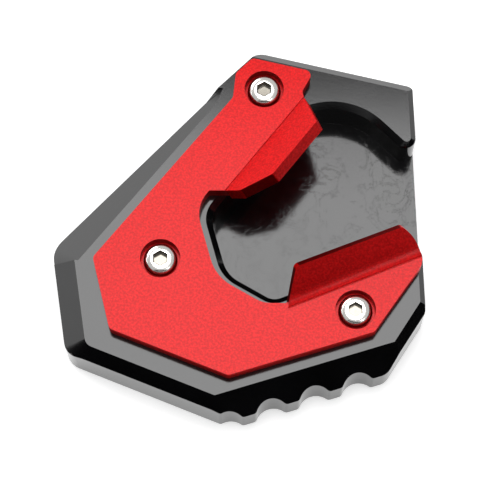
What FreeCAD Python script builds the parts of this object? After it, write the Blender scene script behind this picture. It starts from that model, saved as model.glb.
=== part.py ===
# Kickstand foot enlarger: a milled block with a deep pocket that takes the stand's foot,
# and a C-shaped plate with two raised lips that clamps the foot in, held by three screws.
# Millimetres, Z up. The block rests on z = 0 and its plan is centred on the origin.
# Each straight side is given by its angle, the way it faces in degrees anticlockwise
# from +X, and by its reach, the distance from the layout's middle to the side.
import math
import os
import FreeCAD, Part

# Block: heights and the vertical outer walls
block_height = 18.5
floor_height = 4.5
left_angle, left_reach = 188.6, 61.0
lower_left_angle, lower_left_reach = 248.0, 52.9
grip_angle, grip_reach = 287.0, 50.85
lower_right_angle, lower_right_reach = 327.2, 57.15
right_angle, right_reach = 1.7, 53.07
far_angle, far_reach = 76.5, 63.05
upper_left_angle, upper_left_reach = 134.2, 43.8

# Block: radii of the wall corners, each named for the two sides that meet there
left_corner_radius = 8.0
lower_left_corner_radius = 6.5
bottom_corner_radius = 4.0
grip_end_radius = 5.0
lower_right_corner_radius = 3.0
far_right_corner_radius = 2.5
far_left_corner_radius = 4.0
most_rounded = 0.9  # the most of a wall that its two corner radii may take

# Block: 45 degree chamfers along the top edges
left_chamfer = 6.7
lower_left_chamfer = 3.75
grip_chamfer = 7.4
lower_right_chamfer = 2.9
right_chamfer = 1.62
far_chamfer = 2.7
rim_chamfer = 1.9
left_top_radius = 4.4
lower_left_top_radius = 3.4
bottom_top_radius = 1.0
# The upper-left chamfer narrows towards the far corner, curls out and stops short of it
taper_angle, taper_reach = 140.9, 37.2
taper_curl_angle, taper_curl_reach = 156.4, 28.2
taper_stop_angle, taper_stop_reach = 266.1, -50.4

# Block: grip scallops along the near edge
scallop_count = 4
scallop_pitch = 13.8
scallop_radius = 5.6
scallop_depth = 2.6
scallop_last_offset = 18.8
tooth_radius = 1.5

# Pocket for the stand's foot, measured at its top rim; it is open to the right
pocket_low_angle, pocket_low_reach = 292.0, 21.8
pocket_heel_angle, pocket_heel_reach = 239.7, 14.3
pocket_left_angle, pocket_left_reach = 195.5, 11.5
pocket_upper_angle, pocket_upper_reach = 141.7, 17.2
pocket_nose_angle, pocket_nose_reach = 45.0, 57.7
pocket_low_radius = 7.0
pocket_heel_radius = 12.0
pocket_left_radius = 9.0
pocket_far_radius = 22.5
nose_radius = 1.3

# Clamp plate: thickness, and how far its edge stands in from the block's top face
plate_thickness = 4.75
far_inset = 2.45
taper_inset = 4.05
wall_inset = 1.8
lower_left_inset = 6.2
grip_inset = 3.6
ledge = 2.0
plate_left_angle, plate_left_reach = 193.7, 48.2
plate_notch_angle, plate_notch_reach = 174.0, 10.1
plate_right_angle, plate_right_reach = 325.0, 48.1
plate_tab_angle, plate_tab_reach = 331.0, -8.97
plate_nook_angle = 270.0
plate_heel_reach = -21.2
plate_corner_radius = 2.0
plate_notch_radius = 3.0
plate_right_radius = 4.5

# Lips: raised along a fold, leaning out over the pocket, with a fine groove in the fold
lip_angle = 38.0
lower_fold_setback = 3.6
upper_fold_setback = -2.0
fold_groove_radius = 0.3
groove_overrun = 1.0

# Each lip's outline, laid out in its own sloping face: X along the fold, Y up the slope
lower_lip_thickness = 2.8
lower_lip_end_angle, lower_lip_end_reach = 0.0, 46.35
lower_lip_slant_angle, lower_lip_slant_reach = 34.3, 41.9
lower_lip_top_angle, lower_lip_top_reach = 89.2, 11.8
lower_lip_left_angle, lower_lip_left_reach = 152.0, -2.0
lower_lip_end_radius = 15.0
lower_lip_slant_radius = 1.2
lower_lip_left_radius = 2.0
upper_lip_thickness = 4.0
upper_lip_mouth_angle, upper_lip_mouth_reach = 18.9, -6.76
upper_lip_near_angle, upper_lip_near_reach = 53.0, -1.2
upper_lip_top_angle, upper_lip_top_reach = 90.0, 12.25
upper_lip_far_angle, upper_lip_far_reach = 152.3, 41.28
upper_lip_mouth_radius = 2.5
lip_tip_radius = 0.8

# Screws: M6 button heads with a hexagon socket, at (x, y) in the layout
screw_places = {
    "screw_upper": (4.45, 48.8),
    "screw_left": (-27.4, -6.9),
    "screw_right": (32.0, -23.2),
}
screw_diameter = 6.0
screw_length = 12.0
screw_point = 0.8
head_diameter = 10.5
head_height = 3.3
head_rim = 0.5
head_top_diameter = 5.6
socket_across_flats = 4.0
socket_depth = 2.1
counterbore_diameter = 12.3
counterbore_depth = 3.2
clearance_hole_diameter = 6.6
thread_clearance = 0.05
hole_spare_depth = 1.6

# How far cutting tools run past the work
past = 30.0


def side(angle, reach):
    """A straight side as its outward normal and its reach."""
    turn = math.radians(angle)
    return math.cos(turn), math.sin(turn), reach


def moved(line, distance):
    """The same side, moved outwards."""
    return line[0], line[1], line[2] + distance


def facing_back(line):
    """The same line as the edge of the solid on its other side."""
    return -line[0], -line[1], -line[2]


def meeting(one, other):
    """The point where two sides cross."""
    spread = one[0] * other[1] - one[1] * other[0]
    x = (one[2] * other[1] - one[1] * other[2]) / spread
    y = (one[0] * other[2] - one[2] * other[0]) / spread
    return FreeCAD.Vector(x, y, 0)


def through(angle, point):
    """A side that faces the given way and runs through a point."""
    line = side(angle, 0)
    return moved(line, line[0] * point.x + line[1] * point.y)


def along(line):
    """The way a side runs, with the solid on its left."""
    return FreeCAD.Vector(-line[1], line[0], 0)


def fitted(corners):
    """The same outline, each corner's radius limited by the two sides that it rounds."""
    setbacks = []
    shares = []
    for index, (line, radius) in enumerate(corners):
        turn = along(line).getAngle(along(corners[(index + 1) % len(corners)][0]))
        setbacks.append(radius * math.tan(turn / 2))
    for index, (line, radius) in enumerate(corners):
        start = meeting(corners[index - 1][0], line)
        end = meeting(line, corners[(index + 1) % len(corners)][0])
        room = start.distanceToPoint(end) * most_rounded
        shares.append(min(1, room / (setbacks[index - 1] + setbacks[index])))
    rounded = []
    for index, (line, radius) in enumerate(corners):
        rounded.append((line, radius * min(shares[index], shares[(index + 1) % len(corners)])))
    return rounded


def outline_edges(corners, height):
    """Lines and arcs of a closed outline, anticlockwise, from (side, radius at its end)."""
    lift = FreeCAD.Vector(0, 0, height)
    starts = []
    ends = []
    arcs = []
    for index, (line, radius) in enumerate(corners):
        following = corners[(index + 1) % len(corners)][0]
        point = meeting(line, following) + lift
        turn = along(line).getAngle(along(following))
        back = radius * math.tan(turn / 2)
        inward = (along(following) - along(line)).normalize()
        middle = point + inward * (radius / math.cos(turn / 2) - radius)
        ends.append(point - along(line) * back)
        starts.append(point + along(following) * back)
        arcs.append((ends[-1], middle, starts[-1]) if radius > 0 else None)
    edges = []
    for index in range(len(corners)):
        edges.append(Part.LineSegment(starts[index - 1], ends[index]).toShape())
        if arcs[index]:
            edges.append(Part.Arc(*arcs[index]).toShape())
    return edges


def prism(corners, low, high):
    face = Part.Face(Part.Wire(outline_edges(corners, low)))
    return face.extrude(FreeCAD.Vector(0, 0, high - low))


def spread_out(corners, distance):
    """An outline moved outwards all round, its corners turned about the same centres."""
    wider = []
    for index, (line, radius) in enumerate(corners):
        following = corners[(index + 1) % len(corners)][0]
        hollow = line[0] * following[1] - line[1] * following[0] < 0
        grown = radius - distance if hollow else radius + distance
        wider.append((moved(line, distance), grown if radius > 0 else 0))
    return wider


def bevelled(corners, low, high):
    """A 45 degree frustum: the outline at the top, and spread by its height at the foot."""
    foot = outline_edges(spread_out(corners, high - low), low)
    head = outline_edges(corners, high)
    faces = [Part.Face(Part.Wire(foot)), Part.Face(Part.Wire(head))]
    for below, above in zip(foot, head):
        start = below.firstVertex().Point
        rib = Part.LineSegment(start, above.firstVertex().Point)
        if isinstance(above.Curve, Part.Line):
            ends = [start, below.lastVertex().Point, above.lastVertex().Point, rib.EndPoint, start]
            faces.append(Part.Face(Part.makePolygon(ends)))
        else:
            hollow = below.Curve.Radius < above.Curve.Radius
            turn = math.degrees(above.Length / above.Curve.Radius)
            axis = FreeCAD.Vector(0, 0, -1 if hollow else 1)
            faces.append(rib.toShape().revolve(above.Curve.Center, axis, turn))
    shell = Part.makeShell(faces)
    shell.sewShape()
    solid = Part.Solid(shell)
    solid.fix(1e-6, 1e-6, 1e-6)
    return solid


left = side(left_angle, left_reach)
lower_left = side(lower_left_angle, lower_left_reach)
grip = side(grip_angle, grip_reach)
lower_right = side(lower_right_angle, lower_right_reach)
right = side(right_angle, right_reach)
far = side(far_angle, far_reach)
upper_left = side(upper_left_angle, upper_left_reach)
taper = side(taper_angle, taper_reach)
pocket_low = side(pocket_low_angle, pocket_low_reach)
pocket_heel = side(pocket_heel_angle, pocket_heel_reach)
pocket_left = side(pocket_left_angle, pocket_left_reach)
pocket_upper = side(pocket_upper_angle, pocket_upper_reach)
pocket_nose = side(pocket_nose_angle, pocket_nose_reach)
lower_fold = moved(pocket_low, lower_fold_setback)
upper_fold = moved(pocket_upper, upper_fold_setback)
plate_top = block_height + plate_thickness
slope_cos = math.cos(math.radians(lip_angle))
slope_sin = math.sin(math.radians(lip_angle))
lower_lip_end = side(lower_lip_end_angle, lower_lip_end_reach)
upper_lip_mouth = side(upper_lip_mouth_angle, upper_lip_mouth_reach)
upper_lip_far = side(upper_lip_far_angle, upper_lip_far_reach)


def pocket_edge(inset):
    """The pocket's edge as the block sees it, from its mouth's near side round to the nose."""
    return [
        (moved(facing_back(pocket_low), inset), pocket_low_radius - inset),
        (moved(facing_back(pocket_heel), inset), pocket_heel_radius - inset),
        (moved(facing_back(pocket_left), inset), pocket_left_radius - inset),
        (moved(facing_back(pocket_upper), inset), pocket_far_radius - inset),
        (moved(facing_back(pocket_nose), inset), nose_radius + inset),
    ]


def block_walls(with_pocket):
    """The upright walls in plan, with the pocket open or filled."""
    mouth = []
    if with_pocket:
        mouth = [(right, nose_radius + rim_chamfer)] + pocket_edge(rim_chamfer)
    return [
        (left, lower_left_corner_radius),
        (lower_left, bottom_corner_radius),
        (grip, grip_end_radius),
        (lower_right, lower_right_corner_radius),
    ] + mouth + [
        (right, far_right_corner_radius),
        (far, far_left_corner_radius),
        (upper_left, left_corner_radius),
    ]


def block_top(with_pocket, far_left_end):
    """The top face without its lower right side, with the given sides along its upper left."""
    mouth = []
    if with_pocket:
        mouth = [(moved(right, -right_chamfer), nose_radius)] + pocket_edge(0)
    return [
        (moved(left, -left_chamfer), lower_left_top_radius),
        (moved(lower_left, -lower_left_chamfer), bottom_top_radius),
        (moved(grip, -grip_chamfer), 0),
    ] + mouth + [
        (moved(right, -right_chamfer), 0),
        (moved(far, -far_chamfer), 0),
    ] + far_left_end


def roof(far_left_end):
    """All that lies under the top face and its 45 degree chamfers."""
    left_corner = meeting(moved(left, -left_chamfer), taper)
    taper_chamfer = upper_left_reach - left_corner.dot(FreeCAD.Vector(upper_left[0], upper_left[1]))
    widest = max(taper_chamfer, left_chamfer, grip_chamfer)
    rim_foot = block_height - rim_chamfer
    roof_foot = block_height - widest - rim_chamfer
    shape = bevelled(block_top(True, far_left_end), rim_foot, block_height)
    shoulder = spread_out(block_top(False, far_left_end), rim_chamfer)
    shape = shape.fuse(bevelled(shoulder, roof_foot, rim_foot))
    skirt = spread_out(shoulder, rim_foot - roof_foot)
    return shape.fuse(prism(skirt, -past, roof_foot))


def above_slope(line):
    """All that lies above a 45 degree slope that falls away outwards from a line on the top."""
    out = FreeCAD.Vector(line[0], line[1], 0)
    start = out * line[2] - along(line) * 4 * past
    start.z = block_height
    up = FreeCAD.Vector(0, 0, 2 * past)
    corners = [start, start + out * 2 * past - up, start + out * 2 * past + up, start]
    return Part.Face(Part.makePolygon(corners)).extrude(along(line) * 8 * past)


def scallop_axes():
    """The middles of the scallops, on a line outside the grip edge."""
    out = FreeCAD.Vector(grip[0], grip[1], 0) * (grip_reach - scallop_depth + scallop_radius)
    first = scallop_last_offset - (scallop_count - 1) * scallop_pitch
    return [out + along(grip) * (first + index * scallop_pitch) for index in range(scallop_count)]


def scalloped(body):
    """The grip edge bitten by upright cylinders, with the teeth between them rounded."""
    axes = scallop_axes()
    for axis in axes:
        start = FreeCAD.Vector(axis.x, axis.y, -past)
        body = body.cut(Part.makeCylinder(scallop_radius, 2 * past + block_height, start))
    teeth = []
    for edge in body.Edges:
        foot = edge.firstVertex().Point
        run = edge.lastVertex().Point - foot
        upright = math.hypot(run.x, run.y) < 0.001
        foot.z = 0
        at_scallop = min(abs(foot.distanceToPoint(axis) - scallop_radius) for axis in axes) < 0.001
        if upright and at_scallop and len(edge.Vertexes) == 2:
            teeth.append(edge)
    return body.makeFillet(tooth_radius, teeth)


def make_block():
    body = scalloped(prism(fitted(block_walls(True)), 0, block_height))
    body = body.fuse(scalloped(prism(fitted(block_walls(False)), 0, floor_height)))
    curl = above_slope(side(taper_curl_angle, taper_curl_reach))
    taper_end = curl.common(above_slope(side(taper_stop_angle, taper_stop_reach)))
    untapered = roof([(moved(upper_left, past), 0)]).cut(taper_end)
    tapered = roof([(taper, left_top_radius)])
    body = body.common(tapered.fuse(untapered))
    body = body.cut(above_slope(moved(lower_right, -lower_right_chamfer)))
    depth = block_height - screw_tip_height + hole_spare_depth
    for x, y in screw_places.values():
        foot = FreeCAD.Vector(x, y, block_height - depth)
        body = body.cut(Part.makeCylinder(screw_diameter / 2, depth + past, foot))
    return body.removeSplitter()


def from_above(line, fold):
    """A side of a lip's outline as it is seen from above, in the plan."""
    run = along(fold)
    x = line[0] * run.x - line[1] * fold[0] / slope_cos
    y = line[0] * run.y - line[1] * fold[1] / slope_cos
    size = math.hypot(x, y)
    return x / size, y / size, (line[2] - line[1] * fold[2] / slope_cos) / size


def plate_plan():
    """The flat sheet seen from above; it runs on under each fold as far as the lip's root."""
    lower_root = moved(facing_back(lower_fold), lower_lip_thickness * slope_sin)
    upper_root = moved(facing_back(upper_fold), upper_lip_thickness * slope_sin)
    mouth_point = meeting(from_above(upper_lip_mouth, upper_fold), upper_fold)
    return [
        (moved(far, -far_chamfer - far_inset), plate_corner_radius),
        (moved(upper_left, -wall_inset), plate_notch_radius),
        (side(plate_notch_angle, plate_notch_reach), plate_corner_radius),
        (moved(taper, -taper_inset), plate_corner_radius),
        (side(plate_left_angle, plate_left_reach), plate_corner_radius),
        (moved(lower_left, -lower_left_chamfer - lower_left_inset), plate_corner_radius),
        (moved(grip, -grip_chamfer - grip_inset), plate_corner_radius),
        (side(plate_right_angle, plate_right_reach), plate_right_radius),
        (from_above(lower_lip_end, lower_fold), 0),
        (lower_root, 0),
        (side(90.0, plate_heel_reach), pocket_low_radius + ledge),
        (moved(facing_back(pocket_heel), -ledge), pocket_heel_radius + ledge),
        (moved(facing_back(pocket_left), -ledge), pocket_left_radius + ledge),
        (moved(facing_back(pocket_upper), -ledge), 0),
        (through(plate_nook_angle, mouth_point), 0),
        (upper_root, 0),
        (from_above(upper_lip_far, upper_fold), plate_corner_radius),
        (side(plate_tab_angle, plate_tab_reach), plate_corner_radius),
    ]


def lip_frame(fold):
    """The place of a lip's face: X along the fold, Y up the slope, Z out of the face."""
    run = along(fold)
    foot = FreeCAD.Vector(fold[0] * fold[2], fold[1] * fold[2], plate_top)
    return FreeCAD.Placement(FreeCAD.Matrix(
        run.x, -fold[0] * slope_cos, fold[0] * slope_sin, foot.x,
        run.y, -fold[1] * slope_cos, fold[1] * slope_sin, foot.y,
        0, slope_sin, slope_cos, foot.z,
        0, 0, 0, 1))


def lip(fold, outline, thickness):
    """A raised lip, its side walls square to its sloping face."""
    plate = prism(outline + [(side(270.0, 0), 0)], -thickness, 0)
    plate.Placement = lip_frame(fold)
    return plate


def fold_groove(fold, start, end):
    """The fine groove in a fold, between two places along it."""
    axis = FreeCAD.Vector(1, 0, 0)
    groove = Part.makeCylinder(fold_groove_radius, end - start, axis * start, axis)
    groove.Placement = lip_frame(fold).multiply(groove.Placement)
    return groove


def make_plate():
    lower_left_side = side(lower_lip_left_angle, lower_lip_left_reach)
    lower_outline = [
        (lower_lip_end, lower_lip_end_radius),
        (side(lower_lip_slant_angle, lower_lip_slant_reach), lower_lip_slant_radius),
        (side(lower_lip_top_angle, lower_lip_top_reach), lower_lip_left_radius),
        (lower_left_side, 0),
    ]
    upper_outline = [
        (upper_lip_mouth, upper_lip_mouth_radius),
        (side(upper_lip_near_angle, upper_lip_near_reach), lip_tip_radius),
        (side(upper_lip_top_angle, upper_lip_top_reach), lip_tip_radius),
        (upper_lip_far, 0),
    ]
    plate = prism(plate_plan(), block_height, plate_top)
    plate = plate.fuse(lip(lower_fold, lower_outline, lower_lip_thickness))
    plate = plate.fuse(lip(upper_fold, upper_outline, upper_lip_thickness))
    plate = plate.removeSplitter()
    lower_start = lower_lip_left_reach / lower_left_side[0]
    upper_end = upper_lip_mouth_reach / upper_lip_mouth[0] + groove_overrun
    plate = plate.cut(fold_groove(lower_fold, lower_start, lower_lip_end_reach + groove_overrun))
    upper_start = upper_lip_far_reach / upper_lip_far[0] - groove_overrun
    plate = plate.cut(fold_groove(upper_fold, upper_start, upper_end))
    for x, y in screw_places.values():
        seat = FreeCAD.Vector(x, y, plate_top - counterbore_depth)
        plate = plate.cut(Part.makeCylinder(counterbore_diameter / 2, past, seat))
        foot = FreeCAD.Vector(x, y, 0)
        plate = plate.cut(Part.makeCylinder(clearance_hole_diameter / 2, past, foot))
    return plate


def make_screw(x, y):
    """A button-head screw, turned from one profile, with its socket broached in."""
    rim = FreeCAD.Vector(head_diameter / 2, 0, head_rim)
    crown = FreeCAD.Vector(head_top_diameter / 2, 0, head_height)
    gap = (crown.x ** 2 + crown.z ** 2 - rim.x ** 2 - rim.z ** 2) / (2 * (crown.z - rim.z))
    dome = math.hypot(rim.x, rim.z - gap)
    lean = (math.atan2(rim.z - gap, rim.x) + math.atan2(crown.z - gap, crown.x)) / 2
    bulge = FreeCAD.Vector(dome * math.cos(lean), 0, gap + dome * math.sin(lean))
    shank = screw_diameter / 2 - thread_clearance
    points = [
        FreeCAD.Vector(0, 0, head_height),
        FreeCAD.Vector(0, 0, -screw_length),
        FreeCAD.Vector(shank - screw_point, 0, -screw_length),
        FreeCAD.Vector(shank, 0, screw_point - screw_length),
        FreeCAD.Vector(shank, 0, 0),
        FreeCAD.Vector(head_diameter / 2, 0, 0),
        rim,
    ]
    edges = [Part.LineSegment(a, b).toShape() for a, b in zip(points, points[1:])]
    edges.append(Part.Arc(rim, bulge, crown).toShape())
    edges.append(Part.LineSegment(crown, points[0]).toShape())
    axis = FreeCAD.Vector(0, 0, 1)
    screw = Part.Face(Part.Wire(edges)).revolve(FreeCAD.Vector(), axis, 360)
    corner = socket_across_flats / 2 / math.cos(math.pi / 6)
    hexagon = []
    for index in range(7):
        turn = math.pi / 2 + index * math.pi / 3
        hexagon.append(FreeCAD.Vector(corner * math.cos(turn), corner * math.sin(turn), head_height))
    down = FreeCAD.Vector(0, 0, -socket_depth)
    screw = screw.cut(Part.Face(Part.makePolygon(hexagon)).extrude(down))
    screw.translate(FreeCAD.Vector(x, y, plate_top - counterbore_depth))
    return screw


screw_tip_height = plate_top - counterbore_depth - screw_length
parts = {"base_plate": make_block(), "clamp_plate": make_plate()}
for name, (x, y) in screw_places.items():
    parts[name] = make_screw(x, y)

middle = parts["base_plate"].optimalBoundingBox(False, False).Center
os.makedirs("parts", exist_ok=True)
for name, shape in parts.items():
    shape.translate(FreeCAD.Vector(-middle.x, -middle.y, 0))
    shape.exportStep("parts/" + name + ".step")
    box = shape.optimalBoundingBox(False, False)
    print(name, shape.isValid(), len(shape.Solids), round(shape.Volume), len(shape.Faces))
    print("  ", round(box.XMin, 2), round(box.XMax, 2), round(box.YMin, 2), round(box.YMax, 2),
          round(box.ZMin, 2), round(box.ZMax, 2))
print("middle", middle)
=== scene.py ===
import math

import bmesh
import bpy
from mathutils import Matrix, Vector


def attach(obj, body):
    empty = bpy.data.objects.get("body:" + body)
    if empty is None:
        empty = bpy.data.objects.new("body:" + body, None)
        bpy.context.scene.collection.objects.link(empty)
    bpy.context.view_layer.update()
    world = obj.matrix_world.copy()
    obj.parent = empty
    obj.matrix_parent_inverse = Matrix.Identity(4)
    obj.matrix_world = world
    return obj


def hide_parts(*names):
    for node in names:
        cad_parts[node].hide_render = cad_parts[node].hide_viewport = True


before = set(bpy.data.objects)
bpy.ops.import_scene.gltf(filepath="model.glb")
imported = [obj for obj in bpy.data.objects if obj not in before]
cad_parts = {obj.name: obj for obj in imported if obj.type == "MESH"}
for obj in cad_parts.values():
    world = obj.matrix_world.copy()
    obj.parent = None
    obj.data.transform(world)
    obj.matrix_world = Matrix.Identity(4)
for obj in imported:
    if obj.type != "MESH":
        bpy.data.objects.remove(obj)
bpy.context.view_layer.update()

# The camera
# It hangs over the near edge of the table and looks down at the part at 72 degrees,
# square to the scene, through a long lens.
scene = bpy.context.scene
MM = 0.001
aim = Vector((3.796, -5.000, 10.0)) * MM
lean = math.radians(72.0)
camera_distance = 625.0 * MM
camera_data = bpy.data.cameras.new("camera")
camera_data.lens = 144.0
camera_data.sensor_width = 36.0
camera = bpy.data.objects.new("camera", camera_data)
camera.location = aim + Vector((0, -math.cos(lean), math.sin(lean))) * camera_distance
camera.rotation_euler = (math.pi / 2 - lean, 0, 0)
scene.collection.objects.link(camera)
scene.camera = camera
scene.view_settings.view_transform = "Standard"


# The table
# A plain white table top that runs far past the picture on every side. It is paper
# white where the camera sees it, and keeps the part's own soft shadow.
def new_material(name):
    """A fresh material, with its node tree and its shader."""
    material = bpy.data.materials.new(name)
    material.use_nodes = True
    return material, material.node_tree, material.node_tree.nodes["Principled BSDF"]


def flat_sheet(name, width, depth, material):
    """A flat sheet that belongs to the stage, laid out round its own middle."""
    bm = bmesh.new()
    bmesh.ops.create_grid(bm, x_segments=1, y_segments=1, size=0.5)
    bmesh.ops.scale(bm, vec=(width, depth, 1), verts=bm.verts)
    mesh = bpy.data.meshes.new(name)
    bm.to_mesh(mesh)
    bm.free()
    mesh.materials.append(material)
    sheet = bpy.data.objects.new(name, mesh)
    scene.collection.objects.link(sheet)
    return sheet


def maths(tree, operation, first, second):
    """A Math node on a socket and on another socket or a number."""
    node = tree.nodes.new("ShaderNodeMath")
    node.operation = operation
    tree.links.new(first, node.inputs[0])
    if isinstance(second, float):
        node.inputs[1].default_value = second
    else:
        tree.links.new(second, node.inputs[1])
    return node.outputs[0]


table_width = 24.0
table_drop = 0.02 * MM
table_lift = 0.45
paper, tree, shader = new_material("white_paper")
shader.inputs["Base Color"].default_value = (0.86, 0.86, 0.86, 1)
shader.inputs["Roughness"].default_value = 0.9
shader.inputs["Specular IOR Level"].default_value = 0.0
shader.inputs["Emission Color"].default_value = (1, 1, 1, 1)
ray = tree.nodes.new("ShaderNodeLightPath")
seen = maths(tree, "MAXIMUM", ray.outputs["Is Camera Ray"], ray.outputs["Is Glossy Ray"])
seen = maths(tree, "MAXIMUM", seen, ray.outputs["Is Transmission Ray"])
tree.links.new(maths(tree, "MULTIPLY", seen, table_lift), shader.inputs["Emission Strength"])
table_top = flat_sheet("table_top", table_width, table_width, paper)
table_top.location = (0, 0, -table_drop)

# The light
# A white room with soft boxes over the part's far edge, behind it, to its left and, weak,
# in front on the right. Black cards darken the glossy slopes that face the near and right side.
world = bpy.data.worlds.new("white_room")
world.use_nodes = True
room = world.node_tree.nodes["Background"]
room.inputs["Color"].default_value = (1, 1, 1, 1)
room.inputs["Strength"].default_value = 0.55
scene.world = world


def soft_box(name, width, depth, power, height, azimuth, distance):
    """A lamp that faces the part: metres, watts, and its height and compass angles in degrees."""
    lamp = bpy.data.lights.new(name, "AREA")
    lamp.shape = "RECTANGLE"
    lamp.size = width
    lamp.size_y = depth
    lamp.energy = power
    holder = bpy.data.objects.new(name, lamp)
    up, turn = math.radians(height), math.radians(azimuth)
    way = Vector((math.cos(up) * math.cos(turn), math.cos(up) * math.sin(turn), math.sin(up)))
    holder.location = way * distance
    holder.rotation_euler = way.to_track_quat("Z", "Y").to_euler()
    scene.collection.objects.link(holder)


soft_box("soft_box_overhead", 0.58, 0.62, 6.75, 79.9, 88.0, 1.3)
soft_box("soft_box_behind", 1.6, 1.0, 20.0, 30.0, 128.0, 2.2)
soft_box("soft_box_left", 0.9, 0.9, 4.4, 12.0, 172.0, 2.2)
soft_box("soft_box_fill", 0.5, 0.5, 2.2, 50.0, -45.0, 1.5)

black_card, tree, shader = new_material("black_card")
shader.inputs["Base Color"].default_value = (0.005, 0.005, 0.005, 1)
shader.inputs["Roughness"].default_value = 1.0
shader.inputs["Specular IOR Level"].default_value = 0.0
for name, azimuth, distance, width, height, base in (
        ("card_near", -92.0, 0.34, 1.1, 0.18, 0.0),
        ("card_near_left", -152.0, 0.45, 0.50, 0.20, 0.0),
        ("card_lens", -90.0, 0.36, 0.60, 0.32, 0.26),
        ("card_right", -12.0, 0.45, 0.75, 0.22, 0.0)):
    card = flat_sheet(name, width, height, black_card)
    turn = math.radians(azimuth)
    card.location = (distance * math.cos(turn), distance * math.sin(turn), base + height / 2)
    card.rotation_euler = (math.pi / 2, 0, turn + math.pi / 2)
    card.visible_camera = False
    card.visible_diffuse = False
    card.visible_shadow = False


# The block
# One billet of aluminium, milled, its edges broken, and anodised black: a thin hard skin
# that is nearly black by itself and mirrors light softly.
def broken(bm, edges, width, steps):
    """Break or round the given edges."""
    bmesh.ops.bevel(bm, geom=edges, offset=width, offset_type="OFFSET", segments=steps,
                    profile=0.5, affect="EDGES", clamp_overlap=True, material=-1)


def edged_copy(node, edge_width, turn_from, shape):
    """The milled piece with its sharp edges broken: a merged copy of the CAD node."""
    merge_distance = 0.002 * MM
    flat_turn = math.radians(0.4)
    smooth_turn = math.radians(32)
    edge_steps = 2
    bm = bmesh.new()
    bm.from_mesh(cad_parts[node].data)
    bmesh.ops.remove_doubles(bm, verts=bm.verts, dist=merge_distance)
    bmesh.ops.dissolve_limit(bm, angle_limit=flat_turn, verts=bm.verts, edges=bm.edges)
    shape(bm)
    sharp = [edge for edge in bm.edges
             if len(edge.link_faces) == 2 and abs(edge.calc_face_angle()) > turn_from]
    broken(bm, sharp, edge_width, edge_steps)
    for face in bm.faces:
        face.smooth = True
    mesh = bpy.data.meshes.new(node + "_finished")
    bm.to_mesh(mesh)
    bm.free()
    mesh.set_sharp_from_angle(angle=smooth_turn)
    piece = bpy.data.objects.new(node + "_finished", mesh)
    scene.collection.objects.link(piece)
    even = piece.modifiers.new("even_flats", "WEIGHTED_NORMAL")
    even.keep_sharp = True
    even.weight = 80
    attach(piece, "root")
    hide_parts(node)
    return piece


pocket_floor = 4.5 * MM


def cutter_marks(bm):
    """Leave the cutter's round corner along the pocket's foot, and draw in the long chamfer's end."""
    near = 0.01 * MM
    foot_radius = 0.8 * MM
    foot_steps = 6
    chamfer_corner = Vector((-9.53, 43.13, 15.22)) * MM
    chamfer_end = Vector((-6.37, 46.21, 18.50)) * MM
    drawn_in = 0.8
    foot = [edge for edge in bm.edges
            if all(abs(vert.co.z - pocket_floor) < near for vert in edge.verts)
            and len(edge.link_faces) == 2 and not edge.is_convex]
    broken(bm, foot, foot_radius, foot_steps)
    corner = min(bm.verts, key=lambda vert: (vert.co - chamfer_corner).length)
    corner.co = corner.co.lerp(chamfer_end, drawn_in)


def noise(tree, place, scale, detail):
    """A noise that stays fixed to the piece."""
    texture = tree.nodes.new("ShaderNodeTexNoise")
    texture.inputs["Scale"].default_value = scale
    texture.inputs["Detail"].default_value = detail
    tree.links.new(place.outputs["Object"], texture.inputs["Vector"])
    return texture


def tones(tree, texture, stops):
    """A run of colours over a noise, each stop a level and a colour."""
    ramp = tree.nodes.new("ShaderNodeValToRGB")
    steps = ramp.color_ramp.elements
    for step, (level, colour) in zip(steps, (stops[0], stops[-1])):
        step.position = level
        step.color = colour + (1,)
    for level, colour in stops[1:-1]:
        steps.new(level).color = colour + (1,)
    tree.links.new(texture.outputs["Fac"], ramp.inputs["Fac"])
    return ramp


def spread(tree, texture, low, high):
    """A number that wanders between two values with a noise."""
    span = tree.nodes.new("ShaderNodeMapRange")
    span.inputs["To Min"].default_value = low
    span.inputs["To Max"].default_value = high
    tree.links.new(texture.outputs["Fac"], span.inputs["Value"])
    return span


def relief(tree, height, strength, distance):
    """A fine relief of the surface."""
    bump = tree.nodes.new("ShaderNodeBump")
    bump.inputs["Strength"].default_value = strength
    bump.inputs["Distance"].default_value = distance
    tree.links.new(height, bump.inputs["Height"])
    return bump


block = edged_copy("base_plate", 0.18 * MM, math.radians(20), cutter_marks)

black_skin, tree, shader = new_material("black_anodised")
shader.inputs["IOR"].default_value = 1.5
place = tree.nodes.new("ShaderNodeTexCoord")
cloud = noise(tree, place, 60.0, 5.0)
skin_tone = tones(tree, cloud, ((0.3, (0.0008, 0.0008, 0.001)), (0.75, (0.002, 0.002, 0.0024))))
gloss = spread(tree, cloud, 0.10, 0.15)
tree.links.new(gloss.outputs["Result"], shader.inputs["Roughness"])
grain = relief(tree, noise(tree, place, 1800.0, 3.0).outputs["Fac"], 0.10, 0.05 * MM)

# The pocket's floor is faintly scuffed, in relief and in grey, and the scuffs fade out up the wall.
height = tree.nodes.new("ShaderNodeSeparateXYZ")
tree.links.new(place.outputs["Object"], height.inputs[0])
on_floor = tree.nodes.new("ShaderNodeMapRange")
on_floor.interpolation_type = "SMOOTHSTEP"
on_floor.inputs["From Min"].default_value = pocket_floor + 0.4 * MM
on_floor.inputs["From Max"].default_value = pocket_floor + 0.1 * MM
tree.links.new(height.outputs["Z"], on_floor.inputs["Value"])
smear = noise(tree, place, 140.0, 8.0)
smear.inputs["Roughness"].default_value = 0.65
smear.inputs["Distortion"].default_value = 0.8
rubbed = [(level, (shade, shade, shade)) for level, shade in (
    (0.40, 0.0), (0.505, 0.0008), (0.518, 0.005), (0.531, 0.0010), (0.72, 0.003))]
rub = tones(tree, smear, rubbed)
worn = tree.nodes.new("ShaderNodeMix")
worn.data_type = "RGBA"
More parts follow.
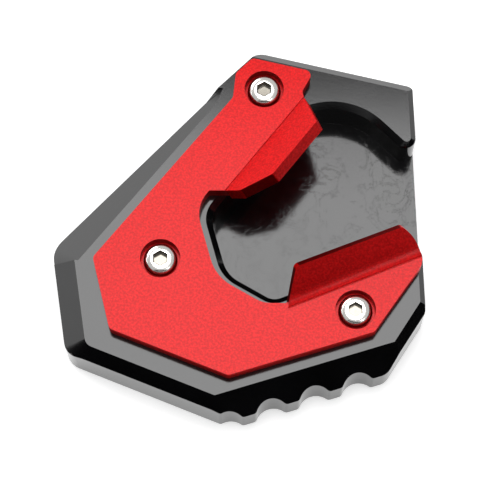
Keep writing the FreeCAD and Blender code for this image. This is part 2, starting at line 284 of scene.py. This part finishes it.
worn.blend_type = "ADD"
tree.links.new(on_floor.outputs["Result"], worn.inputs["Factor"])
tree.links.new(skin_tone.outputs["Color"], worn.inputs["A"])
tree.links.new(rub.outputs["Color"], worn.inputs["B"])
tree.links.new(worn.outputs["Result"], shader.inputs["Base Color"])
rub_height = maths(tree, "MULTIPLY", rub.outputs["Color"], on_floor.outputs["Result"])
scuffed = relief(tree, rub_height, 1.0, 1.0 * MM)
tree.links.new(grain.outputs["Normal"], scuffed.inputs["Normal"])
tree.links.new(scuffed.outputs["Normal"], shader.inputs["Normal"])
block.data.materials.append(black_skin)


# The clamp plate
# A C-shaped aluminium plate, 4.75 mm thick, with two raised lips. It is bead-blasted to
# a fine even grain and then anodised red, so the metal shines through the colour.
def hollow_foot(bm):
    """Run the lower lip's face down into its fold in a long hollow curve, as a ball cutter leaves it."""
    hollow_length = 3.2 * MM
    hollow_radius = 6.0 * MM
    hollow_steps = 6
    cut_reach = 0.001 * MM
    same_way = 0.99
    above_plate = 23.3 * MM
    face_normal = Vector((0.231, -0.571, 0.788)).normalized()

    def lip_face():
        return [face for face in bm.faces
                if face.normal.dot(face_normal) > same_way and face.calc_center_median().z > above_plate]

    whole = max(lip_face(), key=lambda face: face.calc_area())
    along = Vector((-face_normal.y, face_normal.x, 0)).normalized()
    up = face_normal.cross(along)
    up = up if up.z > 0 else -up
    foot = min(vert.co.dot(up) for vert in whole.verts)
    length = max(vert.co.dot(up) for vert in whole.verts) - foot
    for step in range(1, hollow_steps + 1):
        strip = lip_face()
        border = [part for parts in (bm.edges, bm.verts) for part in parts
                  if not set(strip).isdisjoint(part.link_faces)]
        cut_height = foot + hollow_length * step / hollow_steps
        bmesh.ops.bisect_plane(bm, geom=strip + border, dist=cut_reach,
                               plane_co=up * cut_height, plane_no=up)
    # The rest of the face tilts a little, so that the arc runs into it without a kink.
    depth = hollow_length ** 2 / (2 * hollow_radius) / (1 + hollow_length / (length - hollow_length))
    rise = depth / (length - hollow_length)
    for vert in {vert for face in lip_face() for vert in face.verts}:
        past = vert.co.dot(up) - foot - hollow_length
        dip = -depth + rise * past
        if past < 0:
            dip += past ** 2 / (2 * hollow_radius)
        vert.co += face_normal * min(dip, 0.0)


plate = edged_copy("clamp_plate", 0.22 * MM, math.radians(20), hollow_foot)

red_skin, tree, shader = new_material("red_anodised")
shader.inputs["Metallic"].default_value = 1.0
shader.inputs["Roughness"].default_value = 0.6
shader.inputs["Coat Weight"].default_value = 0.25
shader.inputs["Coat Roughness"].default_value = 0.2
shader.inputs["Coat IOR"].default_value = 1.5
place = tree.nodes.new("ShaderNodeTexCoord")
speck = noise(tree, place, 1500.0, 2.0)
blasted_red = tones(tree, speck, ((0.35, (0.47, 0.003, 0.0035)), (0.68, (0.70, 0.006, 0.007))))
tree.links.new(blasted_red.outputs["Color"], shader.inputs["Base Color"])
pitted = relief(tree, speck.outputs["Fac"], 0.5, 0.1 * MM)
tree.links.new(pitted.outputs["Normal"], shader.inputs["Normal"])
plate.data.materials.append(red_skin)

# The counterbores and the lips' cut ends are smoother than the blasted faces, and their red is halved:
# painted shade in the bores round the heads and on the lips' end faces.
red_skin_painted_shade = red_skin.copy()
red_skin_painted_shade.name = "red_anodised_painted_shade"
red_skin_painted_shade.node_tree.nodes["Principled BSDF"].inputs["Roughness"].default_value = 0.42
# Halving the red here is painted shade, not a darker finish.
for step in red_skin_painted_shade.node_tree.nodes["Color Ramp"].color_ramp.elements:
    step.color = [channel / 2 for channel in step.color[:3]] + [1]
plate.data.materials.append(red_skin_painted_shade)
screw_axes = {}
for node in ("screw_upper", "screw_left", "screw_right"):
    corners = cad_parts[node].bound_box
    screw_axes[node] = (Vector(corners[0]) + Vector(corners[6])) / 2
lip_ends = [Vector(way) for way in (
    (-0.282, 0.736, 0.616), (-0.957, 0.012, 0.289), (0.121, -0.862, 0.492))]
counterbore_low = 19.9 * MM
counterbore_high = 23.1 * MM
counterbore_reach = 6.2 * MM
same_way = 0.985
for face in plate.data.polygons:
    at_end = any(face.normal.dot(end) > same_way for end in lip_ends)
    from_screw = min((face.center.xy - axis.xy).length for axis in screw_axes.values())
    in_height = counterbore_low < face.center.z < counterbore_high
    if at_end or (in_height and from_screw < counterbore_reach):
        face.material_index = 1


# The screws
# M6 button heads with hexagon sockets, turned and cold-headed in stainless steel and
# barrel-polished bright. They clamp the plate down in its counterbores.
def full_crown(bm):
    """Round the head out toward its rim, as barrelling leaves it, and chamfer the socket's mouth."""
    rim_height = 20.55 * MM
    crown_height = 2.8 * MM
    crown_radius = 2.8 * MM
    flank = 2.45 * MM
    fullness = 2.1
    mouth_reach = 2.5 * MM
    mouth_chamfer = 0.28 * MM
    near = 0.01 * MM
    axis = sum((vert.co for vert in bm.verts), Vector()) / len(bm.verts)
    for vert in bm.verts:
        spoke = vert.co.xy - axis.xy
        if spoke.length > crown_radius + near and vert.co.z > rim_height + near:
            part_way = min((vert.co.z - rim_height) / crown_height, 1.0)
            radius = crown_radius + flank * (1 - part_way ** fullness) ** (1 / fullness)
            vert.co.xy = axis.xy + spoke.normalized() * radius
    top = max(vert.co.z for vert in bm.verts)
    mouth = [edge for edge in bm.edges
             if all(vert.co.z > top - near and (vert.co.xy - axis.xy).length < mouth_reach
                    for vert in edge.verts)]
    broken(bm, mouth, mouth_chamfer, 1)


bright_steel, tree, shader = new_material("stainless")
shader.inputs["Metallic"].default_value = 1.0
shader.inputs["Base Color"].default_value = (0.88, 0.86, 0.82, 1)
place = tree.nodes.new("ShaderNodeTexCoord")
gloss = spread(tree, noise(tree, place, 900.0, 4.0), 0.12, 0.26)
tree.links.new(gloss.outputs["Result"], shader.inputs["Roughness"])
# A dark copy of the steel for the socket's walls and floor: painted shade inside the socket.
socket_steel_painted_shade = bright_steel.copy()
socket_steel_painted_shade.name = "stainless_painted_socket_shade"
socket_steel_painted_shade.node_tree.nodes["Principled BSDF"].inputs["Base Color"].default_value = (0.20, 0.186, 0.160, 1)

socket_reach = 2.32 * MM
socket_low = 19.9 * MM
over_socket_floor = 21.7 * MM
level = 0.8
for node, axis in screw_axes.items():
    screw = edged_copy(node, 0.1 * MM, math.radians(30), full_crown)
    screw.data.materials.append(bright_steel)
    screw.data.materials.append(socket_steel_painted_shade)
    for face in screw.data.polygons:
        in_socket = (face.center.xy - axis.xy).length < socket_reach and face.center.z > socket_low
        # Faces inside the socket take the painted-shade steel.
        if in_socket and (abs(face.normal.z) < level or face.center.z < over_socket_floor):
            face.material_index = 1
